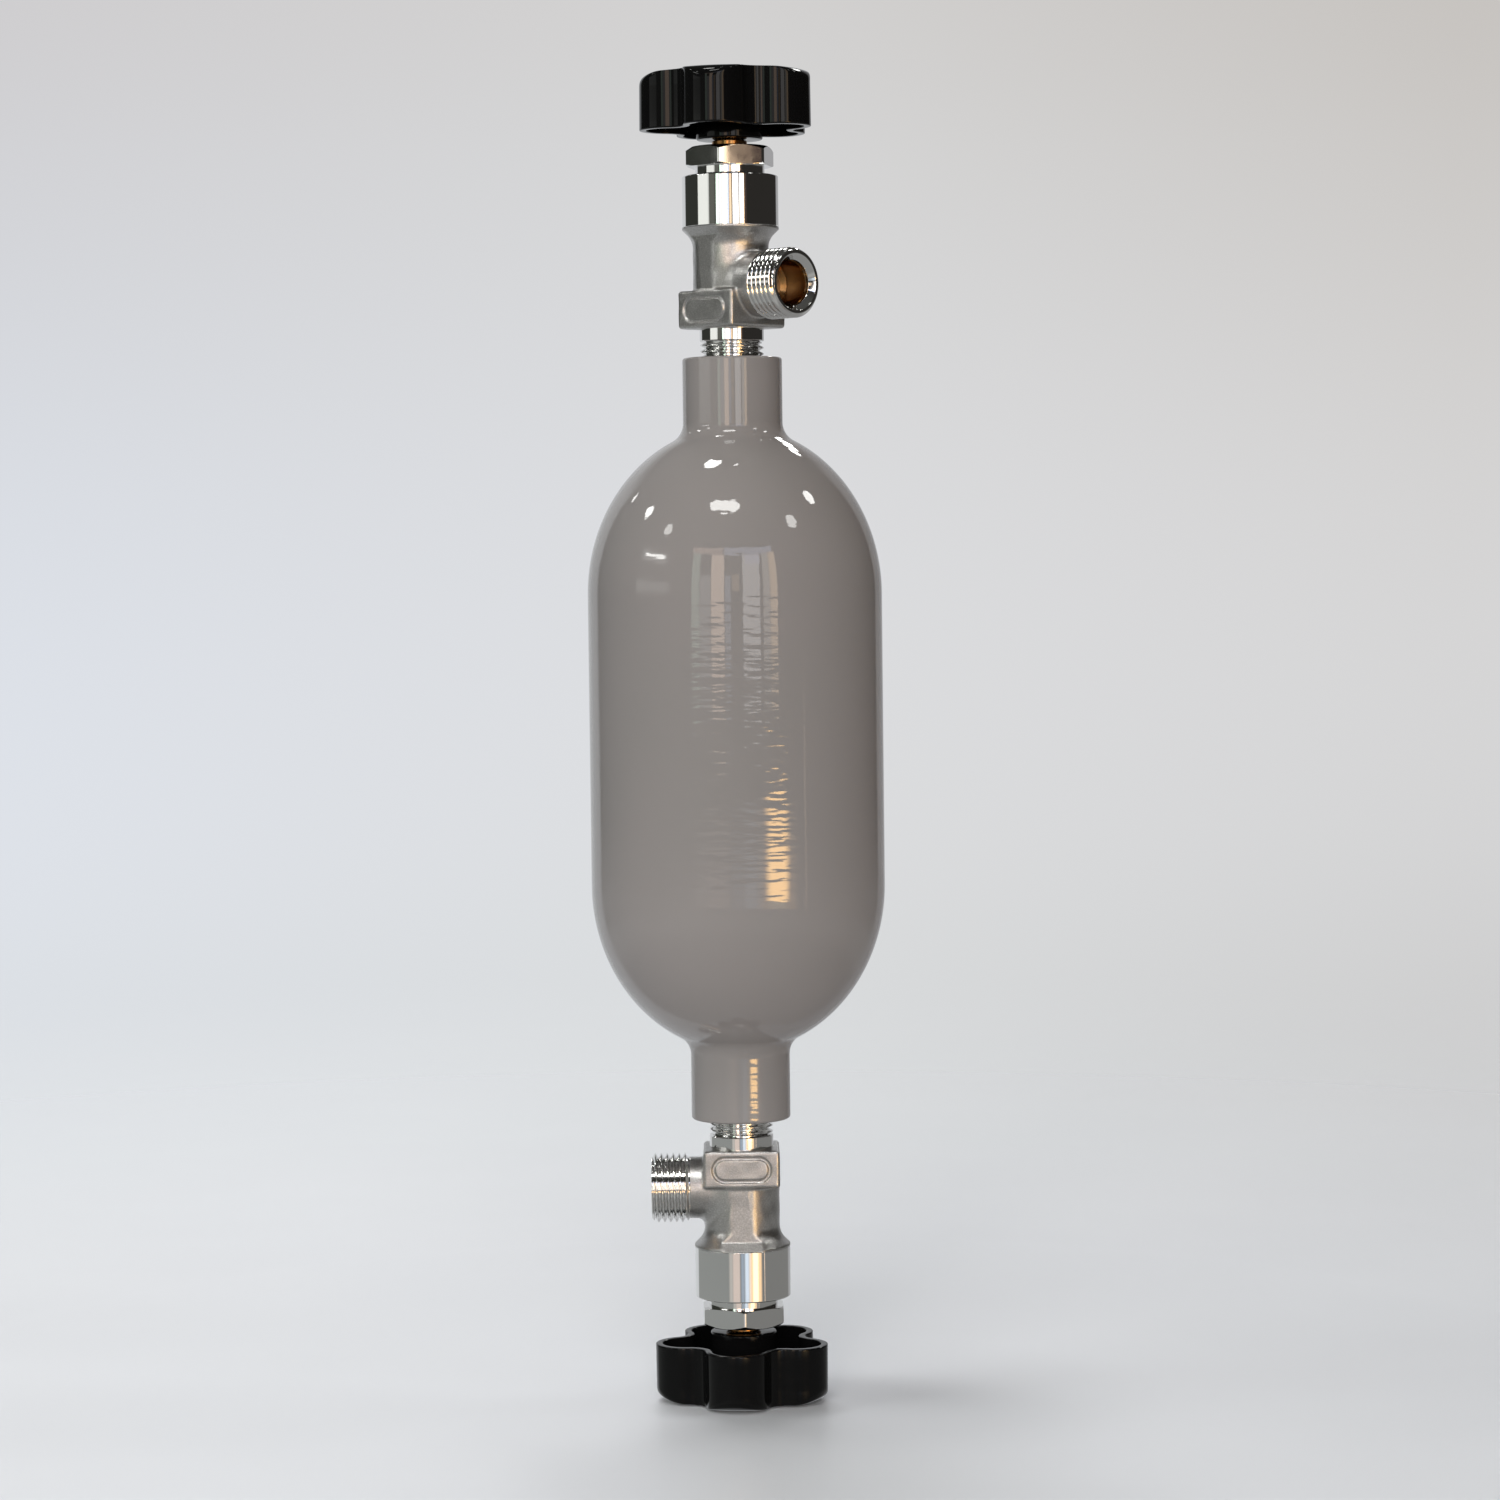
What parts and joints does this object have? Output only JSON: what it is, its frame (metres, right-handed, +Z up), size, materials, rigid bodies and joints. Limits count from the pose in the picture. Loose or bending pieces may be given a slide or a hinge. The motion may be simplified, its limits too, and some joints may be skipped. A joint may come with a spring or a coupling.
{
  "type": "double-ended gas sample cylinder",
  "caption": "Small double-ended gas cylinder: a painted steel vessel with a hand valve, side outlet and lobed handwheel at each neck.",
  "frame": {"origin": "on the vessel's axis, at the outer face of the lower handwheel, which the cylinder stands on", "axes": "+Z up along the vessel's axis; the lower outlet points along -X and the upper outlet midway between +X and -Y"},
  "size_m": [0.089, 0.089, 0.402],
  "materials": {
    "vessel_paint": "gloss warm grey enamel with slight orange peel",
    "valve_chrome": "chrome plate, polished on turned parts and satin on forged faces",
    "nut_chrome": "bright chrome plate",
    "spindle_brass": "turned brass",
    "plug_brass": "turned brass",
    "wheel_plastic": "glossy black moulded plastic",
    "gasket_nylon": "natural nylon",
    "seal_rubber": "matt black rubber",
    "small_steel": "zinc-plated steel"
  },
  "bodies": {
    "cylinder": {"cylinder_shell": "vessel_paint", "top_valve_body": "valve_chrome", "top_gland_nut": "nut_chrome", "top_body_gasket": "gasket_nylon", "top_thrust_washer": "gasket_nylon", "bottom_valve_body": "valve_chrome", "bottom_gland_nut": "nut_chrome", "bottom_body_gasket": "gasket_nylon", "bottom_thrust_washer": "gasket_nylon"},
    "top_wheel": {"top_handwheel": "wheel_plastic", "top_spindle": "spindle_brass", "top_spindle_o_ring": "seal_rubber", "top_drive_blade": "small_steel", "top_wheel_spring": "small_steel", "top_wheel_washer": "small_steel", "top_wheel_nut": "small_steel"},
    "top_plug": {"top_valve_plug": "plug_brass", "top_seat_disc": "gasket_nylon"},
    "bottom_wheel": {"bottom_handwheel": "wheel_plastic", "bottom_spindle": "spindle_brass", "bottom_spindle_o_ring": "seal_rubber", "bottom_drive_blade": "small_steel", "bottom_wheel_spring": "small_steel", "bottom_wheel_washer": "small_steel", "bottom_wheel_nut": "small_steel"},
    "bottom_plug": {"bottom_valve_plug": "plug_brass", "bottom_seat_disc": "gasket_nylon"}
  },
  "joints": [
    {"name": "top_handwheel_turn", "type": "hinge", "parent": "cylinder", "child": "top_wheel", "pos_m": [0, 0, 0.3815], "axis": [0, 0, 1], "range_deg": [0, 720]},
    {"name": "top_plug_lift", "type": "slide", "parent": "top_wheel", "child": "top_plug", "axis": [0, 0, 1], "range_m": [0, 0.0031]},
    {"name": "bottom_handwheel_turn", "type": "hinge", "parent": "cylinder", "child": "bottom_wheel", "pos_m": [0, 0, 0.0205], "axis": [0, 0, -1], "range_deg": [0, 720]},
    {"name": "bottom_plug_lift", "type": "slide", "parent": "bottom_wheel", "child": "bottom_plug", "axis": [0, 0, -1], "range_m": [0, 0.0031]}
  ],
  "couplings": [
    {"joint": "top_plug_lift", "follows": "top_handwheel_turn", "m_per_rad": 0.00023873},
    {"joint": "bottom_plug_lift", "follows": "bottom_handwheel_turn", "m_per_rad": 0.00023873}
  ]
}
